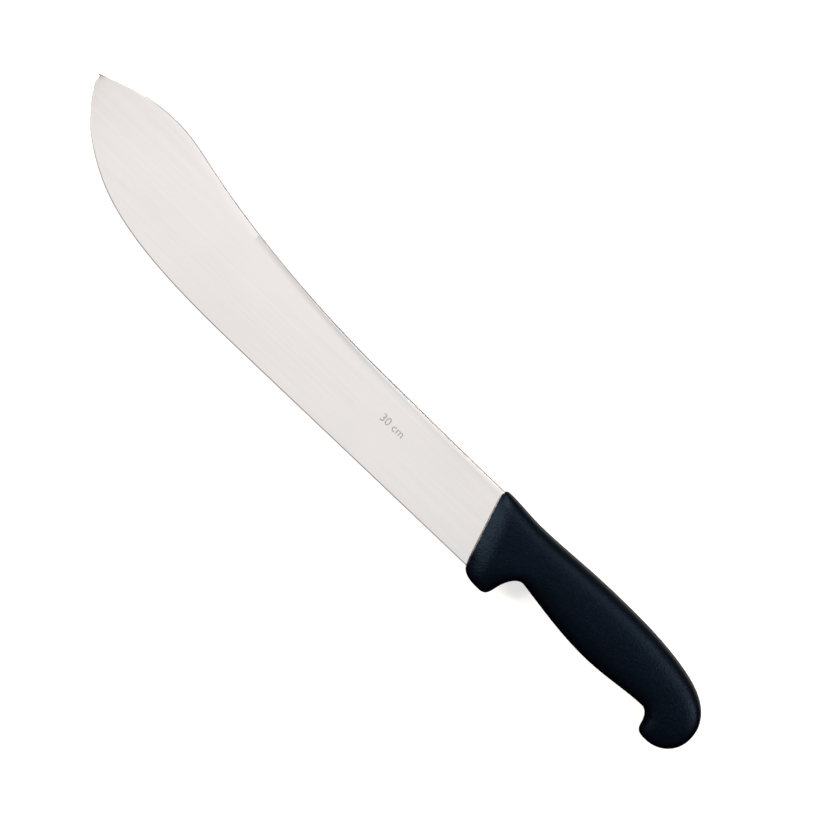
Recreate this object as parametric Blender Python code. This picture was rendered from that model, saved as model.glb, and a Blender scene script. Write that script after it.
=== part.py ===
"""Butcher's knife with a broad upswept nose and a one-piece moulded handle.

Two pieces: a stainless blade whose tang is hidden in the handle, and a plastic handle moulded
round that tang, with posts that lock through the tang's holes.

The knife is drawn lying on its side. Its drawing plane is the middle plane of the blade, with
x = 0 where the handle's mouth crosses the axis, +X towards the butt of the handle and +Y towards
the spine of the blade. An empty then carries the knife so that the middle of its outline is the
origin and the handle's lower side lies on z = 0.
"""

import math

import bmesh
import bpy
import numpy as np

MM = 0.001

# Blade: outline
BLADE_LENGTH = 300 * MM  # handle's mouth to point
HEEL_HEIGHT = 41 * MM  # edge to spine at the handle
SPINE_Y = 20.5 * MM  # height of the spine above the axis at the handle
NOSE_LENGTH = 44 * MM  # point to the crest of the nose
NOSE_RISE = 21.9 * MM  # crest above the heel of the spine
POINT_DROP = 10 * MM  # point below the crest
SWEEP_LENGTH = 82 * MM  # point to the middle of the rising spine
SWEEP_RISE = 15.3 * MM  # spine there above its heel
BELLY_LENGTH = 38 * MM  # point to the middle of the curved edge
BELLY_RISE = 15 * MM  # edge there above its straight part
STRAIGHT_EDGE = 150 * MM  # straight part of the edge

# Blade: thickness
SPINE_THICKNESS = 3.0 * MM
POINT_THICKNESS = 1.4 * MM
GRIND_THICKNESS = 0.7 * MM  # behind the sharpened bevel
EDGE_THICKNESS = 0.2 * MM
BEVEL_HEIGHT = 0.8 * MM
SPINE_ROUNDING = 0.5 * MM

# Tang, measured from the mouth along the handle
PLUNGE = 2 * MM  # depth at which the blade's wedge section ends
SHOULDER = 9 * MM  # depth of the full-height stub
TANG_SETBACK = 34 * MM  # end of the tang to the butt of the handle
TANG_THICKNESS = 2.5 * MM
TANG_TOP = (15 * MM, 9 * MM)  # upper side at the shoulder and at the end
TANG_HEIGHT = (18 * MM, 13 * MM)  # height at the shoulder and at the end
TANG_CHAMFER = 3 * MM
HOLE_DIAMETER = 6 * MM
HOLE_COUNT = 3
FIRST_HOLE = 33 * MM  # depth of the hole nearest the mouth
LAST_HOLE_SETBACK = 19 * MM  # hole nearest the butt to the tang's end

# Handle
HANDLE_LENGTH = 150 * MM  # mouth to butt
HANDLE_THICKNESS = 21 * MM
FRONT_THICKNESS = 17 * MM  # at the mouth
FRONT_TAPER = 24 * MM  # length over which the thickness grows
MOUTH_TILT = math.radians(17)  # lean of the mouth from square
SPINE_LIP = 1.3 * MM  # plastic above the spine
GUARD_LIP = 4.5 * MM  # plastic below the heel of the edge
BELLY_Y = -13 * MM  # lowest line of the grip
NOTCH_Y = -7.3 * MM  # top of the forefinger's notch
SADDLE_DIP = 1.4 * MM  # dip in the back behind the mouth
HOOK_Y = -22 * MM  # tip of the hook below the butt
HOOK_LENGTH = 16 * MM  # hook's tip to the butt
EDGE_ROUNDING = 5.5 * MM  # reach of the rounding at the sides
SQUARENESS = 2.7  # exponent of the rounding: 2 is round, more is squarer
LAND_Y = 2.5 * MM  # middle of the rectangle that closes each flat side
LAND_HALF_WIDTH = 2.5 * MM
LAND_FRONT = 24 * MM  # mouth to land
LAND_SETBACK = 18 * MM  # land to the butt

CLEARANCE = 0.3 * MM  # between the tang and the plastic round it

# Fineness of the meshes
BLADE_STATIONS = 54
OUTLINE_STEP = 4.2 * MM
ROUND_SIDES = 20
RIM_INSETS = np.array([0.0, 0.4, 1.2, 2.4, 4.2]) * MM
FIELD_STEPS = (0.25, 0.5, 0.75, 1.0)
RIM_LEAD = 10 * MM  # distance inside the rim at which its rows aim for the land

LEAN = math.tan(MOUTH_TILT)
EDGE_Y = SPINE_Y - HEEL_HEIGHT
TANG_END = HANDLE_LENGTH - TANG_SETBACK
GUARD_Y = EDGE_Y - GUARD_LIP
BACK_Y = SPINE_Y + SPINE_LIP
CREST_Y = SPINE_Y + NOSE_RISE


def clear_scene():
    for obj in list(bpy.data.objects):
        bpy.data.objects.remove(obj, do_unlink=True)


def make_material(name, color, roughness, metallic):
    material = bpy.data.materials.new(name)
    material.use_nodes = True
    shader = material.node_tree.nodes["Principled BSDF"]
    shader.inputs["Base Color"].default_value = (*color, 1.0)
    shader.inputs["Roughness"].default_value = roughness
    shader.inputs["Metallic"].default_value = metallic
    return material


def curve_through(knots, step):
    """Cubic curve through knots (x, y, heading in degrees, reach before, reach after).

    Each pair of knots spans one Bezier curve whose handles lie along the headings. It gets a
    point about every `step`; the last knot is included.
    """
    points = []
    for (x0, y0, turn0, _, reach0), (x1, y1, turn1, reach1, _) in zip(knots[:-1], knots[1:]):
        angle0, angle1 = math.radians(turn0), math.radians(turn1)
        start, end = np.array([x0, y0]), np.array([x1, y1])
        leave = start + reach0 * np.array([math.cos(angle0), math.sin(angle0)])
        arrive = end - reach1 * np.array([math.cos(angle1), math.sin(angle1)])
        count = max(2, round(math.dist(start, end) / step))
        t = (np.arange(count) / count)[:, None]
        points.append(
            (1 - t) ** 3 * start
            + 3 * t * (1 - t) ** 2 * leave
            + 3 * t**2 * (1 - t) * arrive
            + t**3 * end
        )
    points.append(np.array([knots[-1][:2]]))
    return np.vstack(points)


def even_points(points, count):
    """The same line with `count` points at equal lengths along it."""
    lengths = np.concatenate([[0.0], np.cumsum(np.hypot(*np.diff(points, axis=0).T))])
    wanted = np.linspace(0.0, lengths[-1], count)
    return np.stack([np.interp(wanted, lengths, points[:, axis]) for axis in (0, 1)], axis=1)


def at_depth(depth, y):
    """Point on the line that lies `depth` behind the leaning mouth, at height y."""
    return np.array([depth - y * LEAN, y])


def blade_spine():
    heel = at_depth(0.0, SPINE_Y)
    tip = -BLADE_LENGTH
    knots = [
        (heel[0], heel[1], 180, 0, 25 * MM),
        (-90 * MM, SPINE_Y + 1.1 * MM, 179, 25 * MM, 44 * MM),
        (tip + SWEEP_LENGTH, SPINE_Y + SWEEP_RISE, 167.5, 39 * MM, 16 * MM),
        (tip + NOSE_LENGTH, CREST_Y, 180, 14 * MM, 15 * MM),
        (tip, CREST_Y - POINT_DROP, 204, 15 * MM, 0),
    ]
    return curve_through(knots, 1 * MM)


def blade_edge():
    heel = at_depth(0.0, EDGE_Y)
    tip = -BLADE_LENGTH
    knots = [
        (heel[0], heel[1], 180, 0, 50 * MM),
        (-STRAIGHT_EDGE, EDGE_Y, 180, 50 * MM, 45 * MM),
        (tip + BELLY_LENGTH, EDGE_Y + BELLY_RISE, 153.5, 30 * MM, 16 * MM),
        (tip, CREST_Y - POINT_DROP, 103, 17 * MM, 0),
    ]
    return curve_through(knots, 1 * MM)


def section(low, high, edge, grind, spine):
    """Ring of ten points round the blade between its edge at `low` and its spine at `high`.

    The three thicknesses are those of the edge, of the top of the sharpened bevel and of the
    spine. The heights shrink together where the blade is narrower than its bevel and rounding.
    """
    low, high = np.asarray(low), np.asarray(high)
    height = math.dist(low, high)
    up = (high - low) / height
    bevel = min(BEVEL_HEIGHT, 0.3 * height)
    rounding = min(SPINE_ROUNDING, 0.3 * height, 0.4 * spine)
    corner = rounding * (1 - math.sqrt(0.5))
    side = [
        (0.0, edge / 2),
        (bevel, grind / 2),
        (height - rounding, spine / 2),
        (height - corner, spine / 2 - corner),
        (height, spine / 2 - rounding),
    ]
    ring = [(*(low + rise * up), half) for rise, half in side]
    ring += [(*(low + rise * up), -half) for rise, half in reversed(side)]
    return ring


def blade_sections():
    """Sections from the point to the mouth, spine and thickness tapering towards the point.

    The spine stops one step short of the point, which leaves the point a blunt end.
    """
    spine = even_points(blade_spine()[:-1], BLADE_STATIONS)[::-1]
    edge = even_points(blade_edge(), BLADE_STATIONS)[::-1]
    rings = []
    for low, high, share in zip(edge, spine, np.linspace(0.0, 1.0, BLADE_STATIONS)):
        thickness = POINT_THICKNESS + (SPINE_THICKNESS - POINT_THICKNESS) * share
        rings.append(section(low, high, EDGE_THICKNESS, GRIND_THICKNESS, thickness))
    return rings


def tang_span(depth):
    """Lower and upper side of the tang at a depth behind the mouth."""
    share = (depth - SHOULDER) / (TANG_END - SHOULDER)
    top = TANG_TOP[0] + (TANG_TOP[1] - TANG_TOP[0]) * share
    height = TANG_HEIGHT[0] + (TANG_HEIGHT[1] - TANG_HEIGHT[0]) * share
    return top - height, top


def hidden_sections(grow):
    """Sections inside the handle, from the mouth to the tang's end, swollen by `grow`.

    The wedge of the blade turns into a stub of even thickness, which steps down at the shoulder
    to the tang. Swollen by the clearance, the same shape is the pocket in the handle.
    """
    flat = TANG_THICKNESS + 2 * grow
    wedge = (EDGE_THICKNESS + 2 * grow, GRIND_THICKNESS + 2 * grow, SPINE_THICKNESS + 2 * grow)
    shoulder, end = SHOULDER + grow, TANG_END + grow
    shoulder_span = tang_span(SHOULDER)
    end_span = tang_span(TANG_END)
    chamfer_span = tang_span(TANG_END - TANG_CHAMFER)
    stations = [
        (PLUNGE, EDGE_Y, SPINE_Y, wedge),
        (0.8 * SHOULDER, EDGE_Y, SPINE_Y, (flat, flat, flat)),
        (shoulder, EDGE_Y, SPINE_Y, (flat, flat, flat)),
        (shoulder, *shoulder_span, (flat, flat, flat)),
        (end - TANG_CHAMFER, *chamfer_span, (flat, flat, flat)),
        (end, end_span[0] + TANG_CHAMFER, end_span[1] - TANG_CHAMFER, (flat, flat, flat)),
    ]
    rings = []
    for depth, low, high, thicknesses in stations:
        ring = section(at_depth(depth, low - grow), at_depth(depth, high + grow), *thicknesses)
        rings.append(ring)
    return rings


def skin(name, rings, material):
    """Closed mesh over a row of equal rings, capped at both ends."""
    mesh = bmesh.new()
    rows = [[mesh.verts.new(point) for point in ring] for ring in rings]
    size = len(rings[0])
    for row, following in zip(rows[:-1], rows[1:]):
        for i in range(size):
            j = (i + 1) % size
            mesh.faces.new((row[i], row[j], following[j], following[i]))
    mesh.faces.new(reversed(rows[0]))
    mesh.faces.new(rows[-1])
    return finish_mesh(name, mesh, material)


def finish_mesh(name, mesh, material):
    bmesh.ops.remove_doubles(mesh, verts=mesh.verts, dist=0.001 * MM)
    bmesh.ops.recalc_face_normals(mesh, faces=mesh.faces)
    data = bpy.data.meshes.new(name)
    mesh.to_mesh(data)
    mesh.free()
    data.shade_smooth()
    data.set_sharp_from_angle(angle=math.radians(35))
    if material:
        data.materials.append(material)
    obj = bpy.data.objects.new(name, data)
    bpy.context.collection.objects.link(obj)
    return obj


def hide_cutter(obj):
    obj.hide_render = True
    obj.display_type = "WIRE"


def cut(obj, cutter):
    modifier = obj.modifiers.new("cut_" + cutter.name, "BOOLEAN")
    modifier.operation = "DIFFERENCE"
    modifier.solver = "EXACT"
    modifier.object = cutter
    hide_cutter(cutter)


def pins(name, radius, half_length):
    """Upright cylinders on the middle line of the tang, one for each of its holes."""
    mesh = bmesh.new()
    for depth in np.linspace(FIRST_HOLE, TANG_END - LAST_HOLE_SETBACK, HOLE_COUNT):
        x, y = at_depth(depth, sum(tang_span(depth)) / 2)
        made = bmesh.ops.create_cone(
            mesh,
            cap_ends=True,
            segments=ROUND_SIDES,
            radius1=radius,
            radius2=radius,
            depth=2 * half_length,
        )
        bmesh.ops.translate(mesh, verts=made["verts"], vec=(x, y, 0.0))
    return finish_mesh(name, mesh, None)


def make_blade(material):
    blade = skin("blade", blade_sections() + hidden_sections(0.0), material)
    cut(blade, pins("tang_hole_cutter", HOLE_DIAMETER / 2, TANG_THICKNESS))
    return blade


def handle_outline():
    """Closed outline of the handle: up the mouth, along the back, round the butt and its hook,
    back along the belly of the grip, round the forefinger's notch and down round the guard."""
    butt = HANDLE_LENGTH
    mouth_low = at_depth(0.0, EDGE_Y + 5.5 * MM)
    mouth_high = at_depth(0.0, SPINE_Y - 5 * MM)
    up_the_mouth = 90 + math.degrees(MOUTH_TILT)
    notch_x, hook_x = 34.7 * MM, butt - 29.8 * MM
    belly_x = notch_x + 0.577 * (hook_x - notch_x)
    knots = [
        (*mouth_low, up_the_mouth, 0, 8 * MM),
        (*mouth_high, up_the_mouth, 8 * MM, 4 * MM),
        (mouth_high[0] + 3.3 * MM, BACK_Y, 0, 2.5 * MM, 8 * MM),
        (22 * MM, BACK_Y - SADDLE_DIP, 0, 8.4 * MM, 15.5 * MM),
        (68 * MM, BACK_Y - 0.1 * MM, 0, 16 * MM, 19 * MM),
        (butt - 22 * MM, BACK_Y - 5.3 * MM, -15, 19 * MM, 13.4 * MM),
        (butt, HOOK_Y + 16 * MM, -90, 12 * MM, 9 * MM),
        (butt - HOOK_LENGTH, HOOK_Y, -180, 9 * MM, 4.9 * MM),
        (butt - 23.7 * MM, HOOK_Y + 4.6 * MM, 103.4, 4 * MM, 2.6 * MM),
        (hook_x, BELLY_Y + 2.5 * MM, 180, 4 * MM, 10.3 * MM),
        (belly_x, BELLY_Y, 180, 0.36 * (hook_x - belly_x), 0.36 * (belly_x - notch_x)),
        (notch_x, NOTCH_Y, 171, 16 * MM, 4.4 * MM),
        (25 * MM, GUARD_Y + 7.7 * MM, -110, 4.9 * MM, 3.9 * MM),
        (19 * MM, GUARD_Y, 180, 5.2 * MM, 11 * MM),
        (*mouth_low, up_the_mouth, 7.2 * MM, 0),
    ]
    return curve_through(knots, OUTLINE_STEP)[:-1]


def depth_inside(points, outline):
    """Smooth distance from each point to the outline it lies in.

    It is 2 divided by the sum, over the outline's sides, of tan(a / 2) * (1 / r1 + 1 / r2), where
    a is the angle that the side fills as seen from the point, and r1 and r2 are the distances to
    its ends. It equals the true distance close to a side, and has no creases further in.
    """
    ray = outline[None, :, :] - points[:, None, :]
    reach = np.hypot(ray[..., 0], ray[..., 1])
    following, next_reach = np.roll(ray, -1, axis=1), np.roll(reach, -1, axis=1)
    cross = ray[..., 0] * following[..., 1] - ray[..., 1] * following[..., 0]
    dot = (ray * following).sum(axis=2)
    half_tangent = np.tan(np.arctan2(cross, dot) / 2)
    return 2.0 / np.abs((half_tangent * (1 / reach + 1 / next_reach)).sum(axis=1))


def half_thickness(points, outline):
    """Half thickness of the handle: full on the flat sides, rounded down to nothing at the rim.

    Within EDGE_ROUNDING of the rim it follows a superellipse, (1 - (1 - d / R) ** n) ** (1 / n)
    of the full value, and towards the mouth the full value eases down to that of the front.
    """
    inside = np.minimum(depth_inside(points, outline) / EDGE_ROUNDING, 1.0)
    rounding = (1 - (1 - inside) ** SQUARENESS) ** (1 / SQUARENESS)
    ahead = np.clip(1 - points[:, 0] / FRONT_TAPER, 0.0, 1.0)
    full = HANDLE_THICKNESS - (HANDLE_THICKNESS - FRONT_THICKNESS) * ahead**1.6
    return rounding * full / 2


def handle_rows(outline):
    """Rows of the handle's upper half, from its rim to the rectangle on its flat side.

    Each point of the rim runs straight to the point of that rectangle which is nearest to a
    place RIM_LEAD square inside the rim: first by the fixed insets of the rim, then by shares of
    what is left.
    """
    low = np.array([LAND_FRONT, LAND_Y - LAND_HALF_WIDTH])
    high = np.array([HANDLE_LENGTH - LAND_SETBACK, LAND_Y + LAND_HALF_WIDTH])
    along = np.roll(outline, -1, axis=0) - np.roll(outline, 1, axis=0)
    along /= np.hypot(*along.T)[:, None]
    inward = np.column_stack([along[:, 1], -along[:, 0]])
    target = np.clip(outline + RIM_LEAD * inward, low, high)
    length = np.hypot(*(target - outline).T)[:, None]
    shares = [inset / length for inset in RIM_INSETS]
    rim = shares[-1]
    shares += [rim + (1 - rim) * step for step in FIELD_STEPS]
    rows = []
    for index, share in enumerate(shares):
        flat = outline + (target - outline) * share
        height = half_thickness(flat, outline) if index else np.zeros(len(flat))
        rows.append(np.column_stack([flat, height]))
    return rows


def handle_body(material):
    outline = handle_outline()
    rows = handle_rows(outline)
    count = len(outline)
    mesh = bmesh.new()
    for side in (1, -1):
        layers = [[mesh.verts.new((x, y, side * z)) for x, y, z in row] for row in rows]
        for layer, following in zip(layers[:-1], layers[1:]):
            for i in range(count):
                j = (i + 1) % count
                mesh.faces.new((layer[i], layer[j], following[j], following[i]))
        mesh.faces.new(layers[-1])
    return finish_mesh("handle", mesh, material)


def make_handle(material):
    handle = handle_body(material)
    rings = hidden_sections(CLEARANCE)
    opening = section(
        at_depth(-SHOULDER, EDGE_Y - CLEARANCE),
        at_depth(-SHOULDER, SPINE_Y + CLEARANCE),
        EDGE_THICKNESS + 2 * CLEARANCE,
        GRIND_THICKNESS + 2 * CLEARANCE,
        SPINE_THICKNESS + 2 * CLEARANCE,
    )
    pocket = skin("pocket_cutter", [opening] + rings, None)
    cut(pocket, pins("post_cutter", HOLE_DIAMETER / 2 - CLEARANCE, TANG_THICKNESS))
    cut(handle, pocket)
    return handle


def place_on_side(objects):
    """Parent the pieces to an empty that centres the outline and lifts it onto z = 0."""
    origin = bpy.data.objects.new("knife_origin", None)
    bpy.context.collection.objects.link(origin)
    middle_x = (HANDLE_LENGTH - BLADE_LENGTH) / 2
    middle_y = (CREST_Y + min(GUARD_Y, HOOK_Y)) / 2
    origin.location = (-middle_x, -middle_y, HANDLE_THICKNESS / 2)
    for obj in objects:
        obj.parent = origin


def main():
    clear_scene()
    steel = make_material("satin_steel", (0.80, 0.78, 0.77), 0.35, 1.0)
    plastic = make_material("black_plastic", (0.008, 0.011, 0.016), 0.5, 0.0)
    make_blade(steel)
    make_handle(plastic)
    place_on_side([obj for obj in bpy.data.objects if obj.type == "MESH"])
    bpy.context.view_layer.update()


main()
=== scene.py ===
"""Butcher's knife: the finished look of its blade and its moulded handle.

Laid out as an add-on. Each operator makes one piece or the stage, and the panel lists them. The
knife lies on its side: +X towards the butt, +Y towards the spine, +Z up. Shapes are drawn in a
plan whose zero is the place where the handle's mouth crosses the knife's axis.
"""

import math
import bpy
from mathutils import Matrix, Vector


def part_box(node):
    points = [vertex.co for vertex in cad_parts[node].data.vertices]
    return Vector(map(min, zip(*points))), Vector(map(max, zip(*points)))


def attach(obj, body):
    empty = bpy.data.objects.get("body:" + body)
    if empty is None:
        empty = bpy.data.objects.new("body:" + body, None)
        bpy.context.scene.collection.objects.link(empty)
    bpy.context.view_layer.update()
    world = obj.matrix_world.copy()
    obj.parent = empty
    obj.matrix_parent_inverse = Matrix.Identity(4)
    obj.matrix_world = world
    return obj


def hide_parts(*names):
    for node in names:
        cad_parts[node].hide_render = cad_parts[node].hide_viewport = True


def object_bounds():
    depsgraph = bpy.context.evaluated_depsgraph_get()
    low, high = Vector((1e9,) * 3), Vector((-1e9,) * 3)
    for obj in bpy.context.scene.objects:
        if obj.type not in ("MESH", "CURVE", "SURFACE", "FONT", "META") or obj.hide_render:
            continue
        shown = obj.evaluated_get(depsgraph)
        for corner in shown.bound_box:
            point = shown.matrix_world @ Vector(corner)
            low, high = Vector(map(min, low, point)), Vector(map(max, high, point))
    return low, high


bl_info = {
    "name": "Butcher's Knife",
    "version": (1, 0, 0),
    "blender": (4, 5, 0),
    "location": "View3D > Sidebar > Knife",
    "description": "Builds a butcher's knife with a satin blade and a moulded handle",
    "category": "Add Mesh",
}

import bmesh
import bpy
import numpy as np
from bpy.props import FloatProperty, FloatVectorProperty, PointerProperty
from mathutils import Matrix, Vector

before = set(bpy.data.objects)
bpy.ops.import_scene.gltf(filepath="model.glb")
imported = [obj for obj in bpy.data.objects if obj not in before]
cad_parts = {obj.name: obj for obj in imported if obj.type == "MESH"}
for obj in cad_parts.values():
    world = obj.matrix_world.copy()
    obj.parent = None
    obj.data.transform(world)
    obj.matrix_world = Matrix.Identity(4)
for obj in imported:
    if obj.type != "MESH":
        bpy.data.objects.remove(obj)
CAD_LOW, CAD_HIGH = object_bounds()
HANDLE_LOW, HANDLE_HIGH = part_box("handle")
BLADE_LOW, BLADE_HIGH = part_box("blade")

MM = 0.001

# Driving sizes that the frame doesn't give
HANDLE_LENGTH = 150 * MM  # mouth to butt, along the axis
HEEL_HEIGHT = 41 * MM  # edge to spine at the handle
SPINE_Y = 20.5 * MM
MOUTH_TILT = math.radians(17)

# The plan's zero in the frame, and sizes that follow from the frame
AXIS_X = HANDLE_HIGH.x - HANDLE_LENGTH
EDGE_Y = SPINE_Y - HEEL_HEIGHT
GUARD_LIP = 4.5 * MM
GUARD_Y = EDGE_Y - GUARD_LIP
AXIS_Y = HANDLE_LOW.y - GUARD_Y
MIDDLE_Z = (HANDLE_LOW.z + HANDLE_HIGH.z) / 2
POINT_X = BLADE_LOW.x - AXIS_X
CREST_Y = BLADE_HIGH.y - AXIS_Y
LEAN = math.tan(MOUTH_TILT)

# Blade
SWEEP_LENGTH = 82 * MM  # point to the middle of the rising spine
SWEEP_RISE = 15.3 * MM
NOSE_LENGTH = 44 * MM  # point to the crest
POINT_DROP = 10 * MM
BELLY_LENGTH = 38 * MM  # point to the middle of the curved edge
BELLY_RISE = 15 * MM
STRAIGHT_EDGE = 150 * MM
POINT_ROUNDING = 0.35  # mm, rounding of the spine at the point
ROUNDING_GROWTH = 0.55  # mm, what the rounding gains by the mouth
BAND_END = 185 * MM  # mouth to the end of the unground band along the spine
STEP_SHARE = 0.03  # depth of the step under the band, as a share of the band's height
STEP_LIMIT = 0.02 * MM
BLADE_STATIONS = 420
BLADE_STEP = 0.5 * MM  # between points of its outline
BLADE_CREASE = 12  # degrees, above which an edge stays sharp

# Size mark on the blade's side
MARK_TEXT = "30 cm"
MARK_HEIGHT = 6.2 * MM
MARK_PLACE = (-69 * MM, 3.4 * MM)
MARK_PROUD = 0.01 * MM
MARK_WALL = 3 * MARK_PROUD
MARK_DROP = 5 * MM  # height from which the letters are projected down
MARK_WELD = 0.001 * MM

# Tang, measured from the mouth along the handle
PLUNGE = 2 * MM
SHOULDER = 9 * MM
TANG_END = 116 * MM
TANG_TOP = (15 * MM, 9 * MM)
TANG_HEIGHT = (18 * MM, 13 * MM)
TANG_CHAMFER = 3 * MM
TANG_THICKNESS = 2.5 * MM
TANG_ROUNDING = 0.5 * MM
STUB_ROUNDING = 0.9 * MM
HOLE_DEPTHS = (33 * MM, 65 * MM, 97 * MM)
HOLE_RADIUS = 3 * MM
PIN_REACH = 3 * MM  # half the length of a pin, past both faces of the tang
PIN_SIDES = 48
FIT = 0.15 * MM  # between the steel and the plastic round it

# Handle
SPINE_LIP = 1.3 * MM
BACK_Y = SPINE_Y + SPINE_LIP
BELLY_Y = -13 * MM
NOTCH_Y = -7.3 * MM
SADDLE_DIP = 1.4 * MM
HOOK_Y = -22 * MM
HOOK_LENGTH = 16 * MM
MOUTH_INSET = (5.5 * MM, 3.6 * MM)  # edge and spine to the ends of the mouth's straight
FRONT_TAPER = 11 * MM
FRONT_SHARE = 0.65  # of the slimming happens over the front's taper, and the rest over the neck's
NECK_TAPER = 42 * MM
FRONT_EASE = 1.5
FRONT_LEAD = 10 * MM  # how far before the mouth the crown starts
EDGE_BREAK = 0.9 * MM
# Places where the rounding is tighter: x, y, how far that spreads, and how much tighter
TIGHTER = (
    (30 * MM, -8 * MM, 11 * MM, 0.4),
    (HANDLE_LENGTH - 4 * MM, 9 * MM, 16 * MM, 0.4),
)
MIDLINE_Y = 4 * MM
MIDLINE_FRONT = 22 * MM
MIDLINE_END = HANDLE_LENGTH - 18 * MM
RIM_POINTS = 900
LONG_ROWS, BUTT_ROWS, FRONT_ROWS = 160, 150, 170
RIM_STEPS, CROWN_STEPS = 14, 16
RIM_REACH = 5 * MM
RIM_STEP = 0.3 * MM
HANDLE_WELD = 0.002 * MM
HANDLE_CREASE = 40  # degrees


class KnifeSizes(bpy.types.PropertyGroup):
    """Sizes that change the knife's look and leave its outline alone."""

    spine_thickness: FloatProperty(
        name="Spine thickness",
        description="Thickness of the blade's spine at the handle",
        default=BLADE_HIGH.z - BLADE_LOW.z,
        unit="LENGTH",
    )
    point_thickness: FloatProperty(
        name="Point thickness",
        description="Thickness of the spine at the blade's point",
        default=1.4 * MM,
        unit="LENGTH",
    )
    edge_thickness: FloatProperty(
        name="Edge thickness",
        description="Width of the sharpened edge itself",
        default=0.08 * MM,
        unit="LENGTH",
    )
    grind_thickness: FloatProperty(
        name="Thickness behind the edge",
        description="Thickness of the blade at the top of the sharpened bevel",
        default=0.45 * MM,
        unit="LENGTH",
    )
    bevel_height: FloatProperty(
        name="Bevel height",
        description="Height of the sharpened bevel",
        default=0.6 * MM,
        unit="LENGTH",
    )
    band_height: FloatProperty(
        name="Band height",
        description="Height of the unground band along the spine, at the handle",
        default=2.0 * MM,
        unit="LENGTH",
    )
    handle_thickness: FloatProperty(
        name="Handle thickness",
        description="Thickness of the handle at its fullest",
        default=HANDLE_HIGH.z - HANDLE_LOW.z,
        unit="LENGTH",
    )
    front_thickness: FloatProperty(
        name="Front thickness",
        description="Thickness of the handle at its mouth",
        default=11.5 * MM,
        unit="LENGTH",
    )
    edge_rounding: FloatProperty(
        name="Edge rounding",
        description="Reach of the rounding from the handle's rim onto its sides",
        default=11.5 * MM,
        unit="LENGTH",
    )
    squareness: FloatProperty(
        name="Squareness",
        description="Exponent of the rounding: 2 is round, more is squarer",
        default=2.2,
        min=1.5,
        max=6.0,
    )


class KnifeColors(bpy.types.PropertyGroup):
    """Colours of the knife and its stage."""

    steel: FloatVectorProperty(
        name="Steel",
        description="Colour of the satin steel",
        subtype="COLOR",
        default=(0.775, 0.745, 0.735),
        min=0.0,
        max=1.0,
    )
    plastic: FloatVectorProperty(
        name="Plastic",
        description="Colour of the handle's plastic",
        subtype="COLOR",
        default=(0.0001, 0.0002, 0.0008),
        min=0.0,
        max=1.0,
    )
    mark: FloatVectorProperty(
        name="Etched mark",
        description="Colour of the etched size mark",
        subtype="COLOR",
        default=(0.09, 0.10, 0.12),
        min=0.0,
        max=1.0,
    )
    floor: FloatVectorProperty(
        name="Floor",
        description="Colour of the stage's floor",
        subtype="COLOR",
        default=(0.9, 0.9, 0.9),
        min=0.0,
        max=1.0,
    )


# Curves


def curve_through(knots, step):
    """Cubic curve through knots (x, y, heading in degrees, reach before, reach after).

    Between two knots it is the Bezier curve (1-t)^3 A + 3t(1-t)^2 B + 3t^2(1-t) C + t^3 D, where
    B and C lie at the knots' reaches along their headings.
    """
    parts = []
    for (x0, y0, turn0, _, reach0), (x1, y1, turn1, reach1, _) in zip(knots[:-1], knots[1:]):
        angle0, angle1 = math.radians(turn0), math.radians(turn1)
        start, end = np.array([x0, y0]), np.array([x1, y1])
        leave = start + reach0 * np.array([math.cos(angle0), math.sin(angle0)])
        arrive = end - reach1 * np.array([math.cos(angle1), math.sin(angle1)])
        count = max(2, round(math.dist(start, end) / step))
        t = (np.arange(count) / count)[:, None]
        parts.append(
            (1 - t) ** 3 * start
            + 3 * t * (1 - t) ** 2 * leave
            + 3 * t**2 * (1 - t) * arrive
            + t**3 * end
        )
    parts.append(np.array([knots[-1][:2]]))
    return np.vstack(parts)


def even_points(points, count):
    """The same line with `count` points at equal lengths along it."""
    lengths = np.concatenate([[0.0], np.cumsum(np.hypot(*np.diff(points, axis=0).T))])
    wanted = np.linspace(0.0, lengths[-1], count)
    return np.stack([np.interp(wanted, lengths, points[:, axis]) for axis in (0, 1)], axis=1)


def at_depth(depth, y):
    """Point on the line that lies `depth` behind the leaning mouth, at height y."""
    return np.array([depth - y * LEAN, y])


def ease(value):
    """Smooth step, 3v^2 - 2v^3, with v held between 0 and 1."""
    held = np.clip(value, 0.0, 1.0)
    return held * held * (3 - 2 * held)


# Meshes


def new_object(name, points, faces, smooth=True):
    """Mesh object whose points are given in the plan, moved to its place in the frame."""
    mesh = bpy.data.meshes.new(name)
    place = np.array([AXIS_X, AXIS_Y, MIDDLE_Z])
    mesh.from_pydata((np.asarray(points) + place).tolist(), [], faces)
    mesh.validate()
    mesh.update()
    if smooth:
        mesh.shade_smooth()
    obj = bpy.data.objects.new(name, mesh)
    bpy.context.scene.collection.objects.link(obj)
    return obj


def tube_faces(rows, size, first=0):
    """Quads round a row of rings with `size` points each."""
    row = np.arange(rows - 1)[:, None] * size
    here = np.arange(size)[None, :]
    there = (here + 1) % size
    quads = np.stack([row + here, row + there, row + size + there, row + size + here], axis=2)
    return (quads.reshape(-1, 4) + first).tolist()


def weld(obj, distance):
    """Merge points that lie together, drop the faces that this leaves without area, and turn
    the others outwards."""
    surface = bmesh.new()
    surface.from_mesh(obj.data)
    bmesh.ops.remove_doubles(surface, verts=surface.verts, dist=distance)
    bmesh.ops.recalc_face_normals(surface, faces=surface.faces)
    surface.to_mesh(obj.data)
    surface.free()


def applied(obj):
    """Mesh of an object with its modifiers applied."""
    bpy.context.view_layer.update()
    graph = bpy.context.evaluated_depsgraph_get()
    return bpy.data.meshes.new_from_object(obj.evaluated_get(graph))


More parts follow.
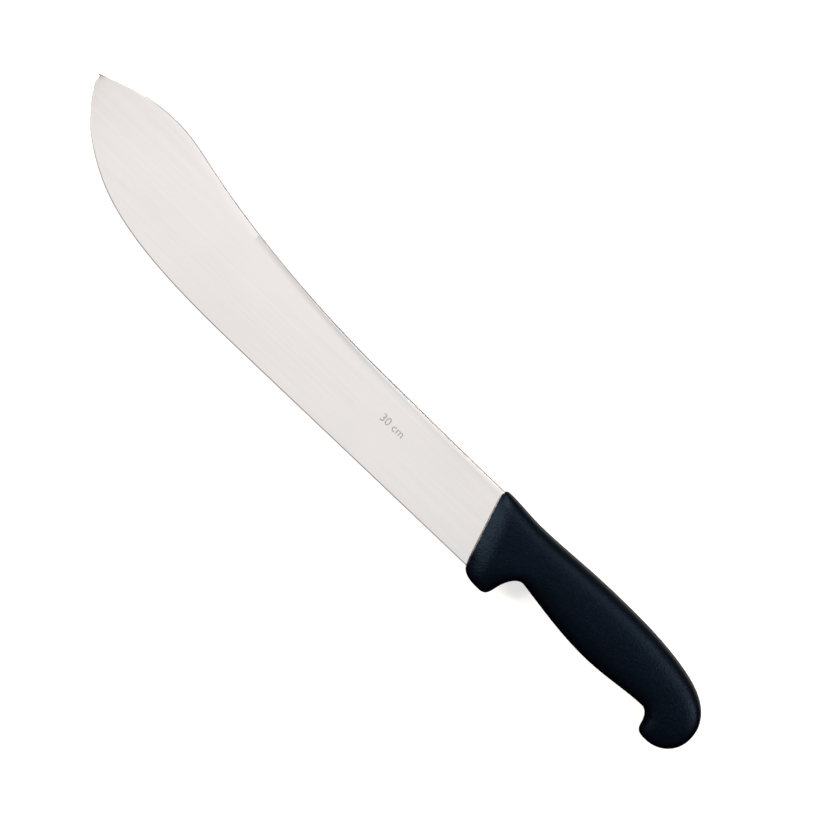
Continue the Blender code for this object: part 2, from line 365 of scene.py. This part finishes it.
def apply_modifiers(obj):
    """Leave the object a plain mesh of the same name, without modifiers."""
    old, name = obj.data, obj.data.name
    made = applied(obj)
    obj.modifiers.clear()
    obj.data = made
    bpy.data.meshes.remove(old)
    made.name = name


def carve(obj, cutter):
    """Cut one closed object out of another, and remove the cutter."""
    modifier = obj.modifiers.new("carve", "BOOLEAN")
    modifier.operation = "DIFFERENCE"
    modifier.solver = "EXACT"
    modifier.object = cutter
    apply_modifiers(obj)
    bpy.data.objects.remove(cutter)


def smooth_up_to(obj, degrees):
    """Smooth shading, except across edges sharper than the given angle."""
    obj.data.shade_smooth()
    obj.data.set_sharp_from_angle(angle=math.radians(degrees))


def dress(obj, material, slot, *nodes):
    """Give a finished piece its material and body, and hide the nodes that it stands for. The slot
    is not used.
    """
    obj.data.materials.clear()
    obj.data.materials.append(material)
    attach(obj, "root")
    if nodes:
        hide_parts(*nodes)


# Blade


def blade_spine():
    """The spine's line from the mouth to the point: level, then rising to the crest, then falling.
    It is a cubic curve through five knots."""
    heel = at_depth(0.0, SPINE_Y)
    knots = [
        (heel[0], heel[1], 180, 0, 25 * MM),
        (-90 * MM, SPINE_Y + 1.1 * MM, 179, 25 * MM, 44 * MM),
        (POINT_X + SWEEP_LENGTH, SPINE_Y + SWEEP_RISE, 167.5, 39 * MM, 16 * MM),
        (POINT_X + NOSE_LENGTH, CREST_Y, 180, 14 * MM, 15 * MM),
        (POINT_X, CREST_Y - POINT_DROP, 204, 15 * MM, 0),
    ]
    return curve_through(knots, BLADE_STEP)


def blade_edge():
    """The edge's line from the mouth to the point: straight, then a belly that sweeps up.
    It is a cubic curve through four knots."""
    heel = at_depth(0.0, EDGE_Y)
    knots = [
        (heel[0], heel[1], 180, 0, 50 * MM),
        (-STRAIGHT_EDGE, EDGE_Y, 180, 50 * MM, 45 * MM),
        (POINT_X + BELLY_LENGTH, EDGE_Y + BELLY_RISE, 153.5, 30 * MM, 16 * MM),
        (POINT_X, CREST_Y - POINT_DROP, 103, 17 * MM, 0),
    ]
    return curve_through(knots, BLADE_STEP)


FLANK_STEPS = np.linspace(0.0, 1.0, 15)
ROUND_STEPS = np.radians(np.linspace(0.0, 90.0, 8))
STEP_RISE = 0.15  # height of the step under the band, as a share of the band's height
ROUND_DEPTH = 0.42  # most of the spine's thickness that its rounding may take on each side


def section_side(height, edge, grind, spine, bevel, band, rounding):
    """Rises and half thicknesses of one side of a blade's section, from the edge to the spine.

    The sharpened bevel runs straight from the edge to the grind, and the flank straight on to a
    fine step under the unground band. Then come the band and the spine's rounding, a quarter
    ellipse.
    """
    step_depth = np.minimum(STEP_LIMIT, band * STEP_SHARE)
    round_depth = np.minimum(rounding, ROUND_DEPTH * spine)
    foot = height - rounding - band
    flank, turn = FLANK_STEPS[1:], ROUND_STEPS
    rises = [
        [0.0, bevel],
        bevel + (foot - bevel) * flank,
        [foot + STEP_RISE * band],
        height - rounding + rounding * np.sin(turn),
    ]
    halves = [
        [edge / 2, grind / 2],
        grind / 2 + (spine / 2 - step_depth - grind / 2) * flank,
        [spine / 2],
        spine / 2 - round_depth * (1 - np.cos(turn)),
    ]
    return np.concatenate(rises), np.concatenate(halves)


def section_ring(low, high, *shape):
    """The whole ring of a section between two points of the plan.

    It runs from the spine down the upper side to the edge and back up the lower side, so that a
    row of rings towards the butt makes faces that point outwards.
    """
    low, high = np.asarray(low), np.asarray(high)
    height = math.dist(low, high)
    up = (high - low) / height
    rises, halves = section_side(height, *shape)
    plan = low + rises[:, None] * up
    upper = np.column_stack([plan, halves])[::-1]
    lower = np.column_stack([plan, -halves])
    return np.vstack([upper, lower])


def blade_rings(sizes):
    """Rings from the point to the mouth, between points at equal shares of the edge and the spine.

    The thickness and the rounding grow evenly towards the mouth, and the band fades out at its
    end. The spine stops just short of the point.
    """
    spine = even_points(blade_spine()[:-1], BLADE_STATIONS)[::-1]
    edge = even_points(blade_edge(), BLADE_STATIONS)[::-1]
    rings = []
    for low, high, share in zip(edge, spine, np.linspace(0.0, 1.0, BLADE_STATIONS)):
        height = math.dist(low, high)
        thickness = sizes.point_thickness
        thickness += (sizes.spine_thickness - sizes.point_thickness) * share
        bevel = min(sizes.bevel_height, 0.3 * height)
        band = sizes.band_height * float(ease(1 + high[0] / BAND_END))
        rounding = min((POINT_ROUNDING + ROUNDING_GROWTH * share) * MM, 0.25 * height)
        shape = (sizes.edge_thickness, sizes.grind_thickness, thickness, bevel, band, rounding)
        rings.append(section_ring(low, high, *shape))
    return rings


def tang_span(depth):
    """Lower and upper side of the tang at a depth behind the mouth."""
    share = (depth - SHOULDER) / (TANG_END - SHOULDER)
    top = TANG_TOP[0] + (TANG_TOP[1] - TANG_TOP[0]) * share
    height = TANG_HEIGHT[0] + (TANG_HEIGHT[1] - TANG_HEIGHT[0]) * share
    return top - height, top


def hidden_rings(sizes, grow):
    """Rings inside the handle, swollen by `grow`: the stub, its shoulder and the tang.

    Unswollen they end the blade, and swollen they are the pocket in the handle.
    """
    flat = TANG_THICKNESS + 2 * grow
    even = (flat, flat, flat, sizes.bevel_height, 0.0, TANG_ROUNDING)
    wedge = (
        sizes.edge_thickness + 2 * grow,
        sizes.grind_thickness + 2 * grow,
        sizes.spine_thickness + 2 * grow,
        sizes.bevel_height,
        sizes.band_height,
        STUB_ROUNDING,
    )
    low_end, high_end = tang_span(TANG_END)
    stations = [
        (PLUNGE, EDGE_Y, SPINE_Y, wedge),
        (0.8 * SHOULDER, EDGE_Y, SPINE_Y, even),
        (SHOULDER + grow, EDGE_Y, SPINE_Y, even),
        (SHOULDER + grow, *tang_span(SHOULDER), even),
        (TANG_END - TANG_CHAMFER + grow, *tang_span(TANG_END - TANG_CHAMFER), even),
        (TANG_END + grow, low_end + TANG_CHAMFER, high_end - TANG_CHAMFER, even),
    ]
    if grow:
        stations.insert(0, (-SHOULDER, EDGE_Y, SPINE_Y, wedge))
    return [
        section_ring(at_depth(depth, low - grow), at_depth(depth, high + grow), *shape)
        for depth, low, high, shape in stations
    ]


def skin(name, rings):
    """Closed surface over a row of rings, capped at both ends."""
    size = len(rings[0])
    faces = tube_faces(len(rings), size)
    last = (len(rings) - 1) * size
    faces.append(list(range(size))[::-1])
    faces.append(list(range(last, last + size)))
    return new_object(name, np.vstack(rings), faces)


def pins(name, radius):
    """Upright cylinders through the tang: (c + r cos a, c + r sin a, +-h) for each hole."""
    sides = PIN_SIDES
    angle = np.arange(sides) * 2 * math.pi / sides
    points, faces = [], []
    for index, depth in enumerate(HOLE_DEPTHS):
        centre = at_depth(depth, sum(tang_span(depth)) / 2)
        circle = centre + radius * np.column_stack([np.cos(angle), np.sin(angle)])
        for z in (-PIN_REACH, PIN_REACH):
            points.append(np.column_stack([circle, np.full(sides, z)]))
        first = index * 2 * sides
        faces += tube_faces(2, sides, first)
        faces.append(list(range(first, first + sides))[::-1])
        faces.append(list(range(first + sides, first + 2 * sides)))
    return new_object(name, np.vstack(points), faces)


def etched_text(name, words, blade):
    """Thin raised letters laid on the blade's upper side, read with the spine at the top.

    The flat letters are moved to their place in the plan, projected straight down onto the steel
    and given a wall that sinks into it.
    """
    text = bpy.data.curves.new(name, "FONT")
    text.body = words
    text.size = MARK_HEIGHT
    text.resolution_u = 4
    text.align_x = "CENTER"
    flat = bpy.data.objects.new(name, text)
    bpy.context.scene.collection.objects.link(flat)
    mesh = applied(flat)
    bpy.data.objects.remove(flat)
    bpy.data.curves.remove(text)
    points = np.empty(len(mesh.vertices) * 3)
    mesh.vertices.foreach_get("co", points)
    points = points.reshape(-1, 3) + (*MARK_PLACE, MARK_DROP)
    faces = [list(face.vertices) for face in mesh.polygons]
    bpy.data.meshes.remove(mesh)
    mark = new_object(name, points, faces, smooth=False)
    weld(mark, MARK_WELD)
    onto = mark.modifiers.new("onto", "SHRINKWRAP")
    onto.wrap_method = "PROJECT"
    onto.use_project_z = True
    onto.use_negative_direction = True
    onto.use_positive_direction = False
    onto.target = blade
    onto.offset = MARK_PROUD
    wall = mark.modifiers.new("wall", "SOLIDIFY")
    wall.thickness = MARK_WALL
    wall.offset = -1.0
    apply_modifiers(mark)
    return mark


# Handle


def handle_outline():
    """Closed outline, a cubic curve through knots.

    It goes up the mouth, along the back, round the butt and its hook, back along the belly, round
    the forefinger's notch and down round the guard.
    """
    butt = HANDLE_LENGTH
    mouth_low = at_depth(0.0, EDGE_Y + MOUTH_INSET[0])
    mouth_high = at_depth(0.0, SPINE_Y - MOUTH_INSET[1])
    up_the_mouth = 90 + math.degrees(MOUTH_TILT)
    notch_x, hook_x = 34.7 * MM, butt - 29.8 * MM
    belly_x = notch_x + 0.577 * (hook_x - notch_x)
    knots = [
        (*mouth_low, up_the_mouth, 0, 8 * MM),
        (*mouth_high, up_the_mouth, 8 * MM, 3.2 * MM),
        (mouth_high[0] + 2.9 * MM, BACK_Y, 0, 2.2 * MM, 8 * MM),
        (22 * MM, BACK_Y - SADDLE_DIP, 0, 8.4 * MM, 15.5 * MM),
        (68 * MM, BACK_Y - 0.1 * MM, 0, 16 * MM, 19 * MM),
        (butt - 22 * MM, BACK_Y - 5.3 * MM, -15, 19 * MM, 13.4 * MM),
        (butt, HOOK_Y + 16 * MM, -90, 12 * MM, 9 * MM),
        (butt - HOOK_LENGTH, HOOK_Y, -180, 9 * MM, 4.9 * MM),
        (butt - 23.7 * MM, HOOK_Y + 4.6 * MM, 103.4, 4 * MM, 2.6 * MM),
        (hook_x, BELLY_Y + 2.5 * MM, 180, 4 * MM, 10.3 * MM),
        (belly_x, BELLY_Y, 180, 0.36 * (hook_x - belly_x), 0.36 * (belly_x - notch_x)),
        (notch_x, NOTCH_Y, 171, 16 * MM, 4.4 * MM),
        (25.9 * MM, GUARD_Y + 7.7 * MM, -105, 4.9 * MM, 4.6 * MM),
        (19.5 * MM, GUARD_Y, 180, 5.4 * MM, 11.3 * MM),
        (*mouth_low, up_the_mouth, 7.2 * MM, 0),
    ]
    return even_points(curve_through(knots, RIM_STEP), RIM_POINTS + 1)


def depth_inside(points, outline):
    """Smooth distance from each point to the outline it lies in.

    It is 2 divided by the sum, over the outline's sides, of tan(a / 2) * (1 / r1 + 1 / r2), where
    a is the angle that the side fills as seen from the point, and r1 and r2 are the distances to
    its ends. It equals the true distance close to a side, and has no creases further in. It isn't
    defined on the outline itself.
    """
    ray = outline[None, :, :] - points[:, None, :]
    reach = np.hypot(ray[..., 0], ray[..., 1])
    following, next_reach = np.roll(ray, -1, axis=1), np.roll(reach, -1, axis=1)
    cross = ray[..., 0] * following[..., 1] - ray[..., 1] * following[..., 0]
    dot = (ray * following).sum(axis=2)
    half_tangent = np.tan(np.arctan2(cross, dot) / 2)
    return 2.0 / np.abs((half_tangent * (1 / reach + 1 / next_reach)).sum(axis=1))


def behind_mouth(points):
    """How far each point lies behind the leaning line of the mouth."""
    return (points[:, 0] + points[:, 1] * LEAN) * math.cos(MOUTH_TILT)


def rounded(depth, reach, power):
    """Share of the full height at a depth inside the rim: (1 - (1 - d / R) ** n) ** (1 / n)."""
    inside = np.minimum(depth / reach, 1.0)
    return (1 - (1 - inside) ** power) ** (1 / power)


def half_thickness(points, outline, sizes):
    """Half thickness of the handle over its plan.

    The crown rises from the outline, except that at the mouth it starts a little in front of it,
    which leaves the front face upright. The full value eases down to that of the front, and a
    small rounding breaks every edge.
    """
    on_mouth = behind_mouth(outline) < 0.01 * MM
    lead = FRONT_LEAD * np.array([math.cos(MOUTH_TILT), math.sin(MOUTH_TILT)])
    ahead_of_mouth = outline - on_mouth[:, None] * lead
    reach = np.full(len(points), sizes.edge_rounding)
    for x, y, spread, tightening in TIGHTER:
        away = np.hypot(*(points - (x, y)).T) / spread
        reach *= 1 - tightening * np.exp(-(away**2))
    crown = rounded(depth_inside(points, ahead_of_mouth), reach, sizes.squareness)
    edge = rounded(depth_inside(points, outline), EDGE_BREAK, 2.0)
    front = np.clip(1 - behind_mouth(points) / FRONT_TAPER, 0.0, 1.0) ** FRONT_EASE
    neck = np.clip(1 - behind_mouth(points) / NECK_TAPER, 0.0, 1.0) ** FRONT_EASE
    thinner = sizes.handle_thickness - sizes.front_thickness
    full = sizes.handle_thickness - thinner * (FRONT_SHARE * front + (1 - FRONT_SHARE) * neck)
    return crown * edge * full / 2


def handle_plan():
    """Rim points of the handle, and for each the point of the midline that its row ends on.

    The midline runs along the middle of the handle. Rows from the back and from the belly meet
    in pairs along it, and the rows of the front and of the butt fan out from its two ends.
    """
    outline = handle_outline()
    lengths = np.concatenate([[0.0], np.cumsum(np.hypot(*np.diff(outline, axis=0).T))])
    corners = [
        (MIDLINE_FRONT - 3 * MM, BACK_Y),
        (MIDLINE_END + 2 * MM, BACK_Y - 6 * MM),
        (HANDLE_LENGTH - 32 * MM, BELLY_Y + 2 * MM),
        (30 * MM, NOTCH_Y),
    ]
    stops = [lengths[np.hypot(*(outline - corner).T).argmin()] for corner in corners]
    back = np.linspace(stops[0], stops[1], LONG_ROWS)
    butt = np.linspace(stops[1], stops[2], BUTT_ROWS + 2)[1:-1]
    belly = np.linspace(stops[2], stops[3], LONG_ROWS)
    front = np.linspace(stops[3], lengths[-1] + stops[0], FRONT_ROWS + 2)[1:-1] % lengths[-1]
    wanted = np.concatenate([back, butt, belly, front])
    rim = np.stack([np.interp(wanted, lengths, outline[:, axis]) for axis in (0, 1)], axis=1)
    along = np.linspace(MIDLINE_FRONT, MIDLINE_END, LONG_ROWS)
    midline_x = np.concatenate([
        along,
        np.full(BUTT_ROWS, MIDLINE_END),
        along[::-1],
        np.full(FRONT_ROWS, MIDLINE_FRONT),
    ])
    midline = np.column_stack([midline_x, np.full(len(midline_x), MIDLINE_Y)])
    return rim, midline


def handle_shell(sizes):
    """The handle's closed surface before its pocket is cut.

    A row runs from each rim point to the midline, and the height of each of its points is the
    half thickness there. The upper and the lower half share the rim, which has no height.
    """
    outline = handle_outline()[:-1]
    rim, midline = handle_plan()
    length = np.hypot(*(midline - rim).T)[:, None]
    first = np.linspace(0.0, 1.0, RIM_STEPS) ** 2.0 * RIM_REACH
    shares = [inset / length for inset in first]
    steps = np.linspace(0.0, 1.0, CROWN_STEPS)[1:]
    shares += [shares[-1] + (1 - shares[-1]) * step for step in steps]
    upper = [np.column_stack([rim, np.zeros(len(rim))])]
    for share in shares[1:]:
        flat = rim + (midline - rim) * share
        upper.append(np.column_stack([flat, half_thickness(flat, outline, sizes)]))
    turned = np.array([1.0, 1.0, -1.0])
    rings = [ring * turned for ring in upper[::-1]] + upper[1:]
    points = np.vstack(rings)
    handle = new_object("moulded_handle", points, tube_faces(len(rings), len(rim)))
    weld(handle, HANDLE_WELD)
    return handle


# Materials


SPINE_PAINTED_SHADE = (0.36, 0.37, 0.41)  # painted shade: colour that the steel is darkened to where it turns away over the spine


class Nodes:
    """A material's node tree, with short calls for its nodes."""

    def __init__(self, name):
        self.material = bpy.data.materials.new(name)
        self.material.use_nodes = True
        self.tree = self.material.node_tree
        self.shader = self.tree.nodes["Principled BSDF"]

    def add(self, kind, **settings):
        """New node of a kind, with its properties set."""
        node = self.tree.nodes.new(kind)
        for key, value in settings.items():
            setattr(node, key, value)
        return node

    def link(self, source, target):
        """Join an output to an input."""
        self.tree.links.new(source, target)

    def object_space(self, scale):
        """Object coordinates through a Mapping node with the given scale."""
        where = self.add("ShaderNodeTexCoord")
        mapping = self.add("ShaderNodeMapping")
        mapping.inputs["Scale"].default_value = scale
        self.link(where.outputs["Object"], mapping.inputs["Vector"])
        return mapping.outputs["Vector"]

    def noise(self, vector, scale, detail=2.0, roughness=0.5):
        """Noise value at a place, whose scale is in cells per metre."""
        node = self.add("ShaderNodeTexNoise")
        node.inputs["Scale"].default_value = scale
        node.inputs["Detail"].default_value = detail
        node.inputs["Roughness"].default_value = roughness
        self.link(vector, node.inputs["Vector"])
        return node.outputs["Fac"]

    def spread(self, value, low, high, source_low=0.3, source_high=0.7):
        """Map a noise value to a range."""
        node = self.add("ShaderNodeMapRange")
        node.inputs["From Min"].default_value = source_low
        node.inputs["From Max"].default_value = source_high
        node.inputs["To Min"].default_value = low
        node.inputs["To Max"].default_value = high
        self.link(value, node.inputs["Value"])
        return node.outputs["Result"]

    def weighed_sum(self, *parts):
        """Sum of values, each times its weight."""
        total = None
        for value, weight in parts:
            step = self.add("ShaderNodeMath", operation="MULTIPLY_ADD")
            self.link(value, step.inputs[0])
            step.inputs[1].default_value = weight
            step.inputs[2].default_value = 0.0
            if total:
                self.link(total, step.inputs[2])
            total = step.outputs["Value"]
        return total

    def tint(self, factor, dark, light):
        """Colour between dark and light by a factor."""
        node = self.add("ShaderNodeMix", data_type="RGBA")
        self.link(factor, node.inputs["Factor"])
        node.inputs["A"].default_value = (*dark, 1.0)
        node.inputs["B"].default_value = (*light, 1.0)
        return node.outputs["Result"]

    def bump(self, height, strength, distance, base=None):
        """Normal bent by a height, on top of an earlier bump if one is given."""
        node = self.add("ShaderNodeBump")
        node.inputs["Strength"].default_value = strength
        node.inputs["Distance"].default_value = distance
        self.link(height, node.inputs["Height"])
        if base:
            self.link(base, node.inputs["Normal"])
        return node.outputs["Normal"]


def scaled(color, factor):
    """Colour times a factor, held at 1."""
    return tuple(min(1.0, channel * factor) for channel in color)


def satin_steel(color):
    """Satin steel: a fine grain and long faint streaks along the blade, cloudy changes of tone,
    and painted shade, a darker colour where the surface turns away over the spine."""
    nodes = Nodes("satin_steel")
    shader = nodes.shader
    shader.inputs["Metallic"].default_value = 1.0
    grain = nodes.noise(nodes.object_space((12.0, 1400.0, 1400.0)), 2.0, 5.0, 0.65)
    streak = nodes.noise(nodes.object_space((5.0, 260.0, 260.0)), 2.0, 3.0, 0.6)
    cloud = nodes.noise(nodes.object_space((1.0, 2.0, 2.0)), 14.0, 3.0, 0.55)
    worn = nodes.weighed_sum((grain, 0.3), (streak, 0.4), (cloud, 0.7))
    tone = nodes.spread(worn, 0.0, 1.0, 0.5, 0.9)
    flat = nodes.tint(tone, scaled(color, 0.955), scaled(color, 1.02))
    # Painted shade: the base colour darkens wherever the surface turns away from facing straight
    # up or down. This happens mostly over the spine's rounding and faintly over the sharpened
    # bevel, and stands in for the darker reflection there.
    facing = nodes.add("ShaderNodeSeparateXYZ")
    nodes.link(nodes.add("ShaderNodeTexCoord").outputs["Normal"], facing.inputs["Vector"])
    level = nodes.add("ShaderNodeMath", operation="ABSOLUTE")
    nodes.link(facing.outputs["Z"], level.inputs[0])
    turned = nodes.spread(level.outputs["Value"], 1.0, 0.0, 0.8, 0.99)
    scale = nodes.add("ShaderNodeMix", data_type="RGBA")
    nodes.link(turned, scale.inputs["Factor"])
    nodes.link(flat, scale.inputs["A"])
    scale.inputs["B"].default_value = (*SPINE_PAINTED_SHADE, 1.0)
    nodes.link(scale.outputs["Result"], shader.inputs["Base Color"])
    nodes.link(nodes.spread(grain, 0.13, 0.18), shader.inputs["Roughness"])
    nodes.link(nodes.bump(grain, 0.12, 0.02 * MM), shader.inputs["Normal"])
    return nodes.material


def moulded_plastic(color):
    """Blue-black plastic with three sizes of moulded grain. The largest also varies its tone and
    its gloss."""
    nodes = Nodes("moulded_plastic")
    shader = nodes.shader
    shader.inputs["Specular IOR Level"].default_value = 0.08
    shader.inputs["Specular Tint"].default_value = (0.32, 0.59, 1.0, 1.0)
    space = nodes.object_space((1.0, 1.0, 1.0))
    grain = nodes.noise(space, 2600.0, 3.0, 0.6)
    pebble = nodes.noise(space, 900.0, 2.0, 0.6)
    mottle = nodes.noise(space, 420.0, 3.0, 0.55)
    tone = nodes.spread(mottle, 0.0, 1.0)
    mixed = nodes.tint(tone, scaled(color, 0.8), scaled(color, 1.3))
    nodes.link(mixed, shader.inputs["Base Color"])
    nodes.link(nodes.spread(mottle, 0.39, 0.47), shader.inputs["Roughness"])
    coarse = nodes.bump(mottle, 0.15, 0.08 * MM)
    middle = nodes.bump(pebble, 0.7, 0.3 * MM, coarse)
    nodes.link(nodes.bump(grain, 0.35, 0.05 * MM, middle), shader.inputs["Normal"])
    return nodes.material


def etched_steel(color):
    """Dark, dull, finely speckled oxide of an etched mark."""
    nodes = Nodes("etched_steel")
    shader = nodes.shader
    shader.inputs["Metallic"].default_value = 0.4
    speck = nodes.noise(nodes.object_space((1.0, 1.0, 1.0)), 3500.0, 2.0)
    mixed = nodes.tint(nodes.spread(speck, 0.0, 1.0), scaled(color, 0.8), scaled(color, 1.4))
    nodes.link(mixed, shader.inputs["Base Color"])
    nodes.link(nodes.spread(speck, 0.5, 0.7), shader.inputs["Roughness"])
    return nodes.material


def floor_paint(color):
    """Matt pale floor that glows, so that shadows on it stay faint."""
    nodes = Nodes("floor_paint")
    inputs = nodes.shader.inputs
    inputs["Base Color"].default_value = (*scaled(color, 0.35), 1.0)
    inputs["Roughness"].default_value = 0.9
    inputs["Specular IOR Level"].default_value = 0.0
    inputs["Emission Color"].default_value = (*color, 1.0)
    inputs["Emission Strength"].default_value = 0.72
    return nodes.material


# Operators


class KNIFE_OT_blade(bpy.types.Operator):
    """Build the blade with its hidden tang"""

    bl_idname = "knife.blade"
    bl_label = "Blade"

    def execute(self, context):
        sizes = context.scene.knife_sizes
        blade = skin("satin_blade", blade_rings(sizes) + hidden_rings(sizes, 0.0))
        carve(blade, pins("tang_holes", HOLE_RADIUS))
        smooth_up_to(blade, BLADE_CREASE)
        material = satin_steel(context.scene.knife_colors.steel)
        dress(blade, material, "blade_steel", "blade")
        return {"FINISHED"}


class KNIFE_OT_handle(bpy.types.Operator):
    """Mould the handle round the tang"""

    bl_idname = "knife.handle"
    bl_label = "Handle"

    def execute(self, context):
        sizes = context.scene.knife_sizes
        handle = handle_shell(sizes)
        pocket = skin("pocket", hidden_rings(sizes, FIT))
        carve(pocket, pins("posts", HOLE_RADIUS - FIT))
        carve(handle, pocket)
        smooth_up_to(handle, HANDLE_CREASE)
        material = moulded_plastic(context.scene.knife_colors.plastic)
        dress(handle, material, "handle_plastic", "handle")
        return {"FINISHED"}


class KNIFE_OT_mark(bpy.types.Operator):
    """Etch the blade's length in centimetres into its side"""

    bl_idname = "knife.mark"
    bl_label = "Size mark"

    def execute(self, context):
        blade = bpy.data.objects.get("satin_blade")
        if blade is None:
            raise RuntimeError("The size mark needs the blade")
        mark = etched_text("size_mark", MARK_TEXT, blade)
        dress(mark, etched_steel(context.scene.knife_colors.mark), "blade_steel")
        return {"FINISHED"}


class KNIFE_OT_stage(bpy.types.Operator):
    """Set the pale floor, the soft lights and the camera"""

    bl_idname = "knife.stage"
    bl_label = "Stage"

    def execute(self, context):
        scene = context.scene
        scene.view_settings.view_transform = "Standard"
        corners = [(-1, -1), (1, -1), (1, 1), (-1, 1)]
        plan = np.array(corners) * FLOOR_HALF - np.array([AXIS_X, AXIS_Y])
        depth = CAD_LOW.z - FLOOR_GAP - MIDDLE_Z
        floor = new_object("floor", np.column_stack([plan, np.full(4, depth)]), [(0, 1, 2, 3)])
        floor.data.materials.append(floor_paint(scene.knife_colors.floor))
        floor.visible_glossy = False
        make_world(scene)
        for softbox in SOFTBOXES:
            add_softbox(scene, *softbox)
        make_camera(scene)
        return {"FINISHED"}


# Stage

FLOOR_HALF = 12.0  # half the floor's side, in metres
FLOOR_GAP = 0.2 * MM
# Glows of the surroundings: direction, the cosines where the ramp starts and ends, and its top
GLOWS = (
    ((-0.035, 0.0, 1.0), math.cos(math.radians(25)), 1.0, 0.75),
    ((-0.05, 0.25, 1.0), -0.05, 0.5, 0.41),
    ((0.0, 0.6, -0.8), 0.7, 1.0, 1.3),
)
# Softboxes: name, place, width and height in metres, and power in watts
SOFTBOXES = (
    ("back_softbox", (0.9, 1.4, 1.8), 2.2, 0.7, 75.0),
    ("tip_softbox", (-1.95, -0.6, 1.9), 0.9, 0.9, 150.0),
    ("corner_softbox", (-1.4, 1.2, 1.6), 0.7, 0.7, 110.0),
    ("butt_softbox", (2.1, 1.1, 1.7), 0.9, 0.9, 75.0),
)
WARM = (1.0, 0.84, 0.7)
VIEW_ROLL = math.radians(43.5)  # how far the knife's axis dips to the right of level
VIEW_WIDTH = 415.0 * MM
CAMERA_LENS = 100.0
CAMERA_SENSOR = 36.0
CAMERA_CLIP = (0.01, 50.0)
CAMERA_TILT = math.radians(5)
CAMERA_AIM = (6.5 * MM, 8.65 * MM)
VIEW_RIGHT = Vector((math.cos(VIEW_ROLL), math.sin(VIEW_ROLL), 0))
VIEW_UP = Vector((-math.sin(VIEW_ROLL), math.cos(VIEW_ROLL), 0))


def make_world(scene):
    """Studio surroundings: a soft glow overhead, a fainter one from the horizon up, and one from
    below the horizon on the spine's side, which lights the rim along the back.

    Each glow is a straight ramp over the cosine of the angle from its own direction, and the
    three are added.
    """
    world = bpy.data.worlds.new("studio")
    world.use_nodes = True
    tree = world.node_tree
    background = tree.nodes["Background"]
    where = tree.nodes.new("ShaderNodeTexCoord")
    total = None
    for direction, start, end, top in GLOWS:
        toward = tree.nodes.new("ShaderNodeVectorMath")
        toward.operation = "DOT_PRODUCT"
        toward.inputs[1].default_value = Vector(direction).normalized()
        tree.links.new(where.outputs["Generated"], toward.inputs[0])
        ramp = tree.nodes.new("ShaderNodeMapRange")
        ramp.inputs["From Min"].default_value = start
        ramp.inputs["From Max"].default_value = end
        ramp.inputs["To Min"].default_value = 0.0
        ramp.inputs["To Max"].default_value = top
        tree.links.new(toward.outputs["Value"], ramp.inputs["Value"])
        level = ramp.outputs["Result"]
        if total:
            both = tree.nodes.new("ShaderNodeMath")
            both.operation = "ADD"
            tree.links.new(total, both.inputs[0])
            tree.links.new(level, both.inputs[1])
            level = both.outputs["Value"]
        total = level
    tree.links.new(total, background.inputs["Strength"])
    background.inputs["Color"].default_value = (1.0, 1.0, 1.0, 1.0)
    scene.world = world


def add_softbox(scene, name, place, width, height, power):
    """Warm rectangular area light at `place`, aimed at the middle of the knife."""
    light = bpy.data.lights.new(name, "AREA")
    light.shape = "RECTANGLE"
    light.size, light.size_y = width, height
    light.energy = power
    light.color = WARM
    obj = bpy.data.objects.new(name, light)
    place = Vector(place)
    aim = (CAD_LOW + CAD_HIGH) / 2
    turn = (aim - place).to_track_quat("-Z", "Y").to_matrix().to_4x4()
    obj.matrix_world = Matrix.Translation(place) @ turn
    scene.collection.objects.link(obj)


def make_camera(scene):
    """Camera over the knife, leaning a little towards its spine and rolled about its own axis."""
    data = bpy.data.cameras.new("camera")
    data.lens = CAMERA_LENS
    data.sensor_width = CAMERA_SENSOR
    camera = bpy.data.objects.new("camera", data)
    distance = VIEW_WIDTH * CAMERA_LENS / CAMERA_SENSOR
    upright = Matrix((VIEW_RIGHT, VIEW_UP, Vector((0, 0, 1)))).transposed()
    lean = Matrix.Rotation(-CAMERA_TILT, 3, "X")
    turn = lean @ upright
    aim = Vector((*CAMERA_AIM, MIDDLE_Z))
    back = turn @ Vector((0, 0, 1))
    camera.matrix_world = Matrix.Translation(aim + back * distance) @ turn.to_4x4()
    data.clip_start, data.clip_end = CAMERA_CLIP
    scene.collection.objects.link(camera)
    scene.camera = camera


class KNIFE_PT_panel(bpy.types.Panel):
    """Sizes, colours and steps of the knife"""

    bl_idname = "KNIFE_PT_panel"
    bl_label = "Butcher's Knife"
    bl_space_type = "VIEW_3D"
    bl_region_type = "UI"
    bl_category = "Knife"

    def draw(self, context):
        layout = self.layout
        for group in (context.scene.knife_sizes, context.scene.knife_colors):
            column = layout.column(align=True)
            for name in group.bl_rna.properties.keys():
                if name not in ("rna_type", "name"):
                    column.prop(group, name)
        for operator in OPERATORS:
            layout.operator(operator.bl_idname)


OPERATORS = (KNIFE_OT_blade, KNIFE_OT_mark, KNIFE_OT_handle, KNIFE_OT_stage)
CLASSES = (KnifeSizes, KnifeColors, *OPERATORS, KNIFE_PT_panel)


def register():
    """Add the classes and the knife's sizes and colours to the scene's properties."""
    for cls in CLASSES:
        bpy.utils.register_class(cls)
    bpy.types.Scene.knife_sizes = PointerProperty(type=KnifeSizes)
    bpy.types.Scene.knife_colors = PointerProperty(type=KnifeColors)


def unregister():
    """Undo what register does, in reverse."""
    del bpy.types.Scene.knife_colors
    del bpy.types.Scene.knife_sizes
    for cls in reversed(CLASSES):
        bpy.utils.unregister_class(cls)


def main():
    """Make every piece and the stage."""
    register()
    bpy.ops.knife.blade()
    bpy.ops.knife.mark()
    bpy.ops.knife.handle()
    bpy.ops.knife.stage()


if __name__ == "__main__":
    main()
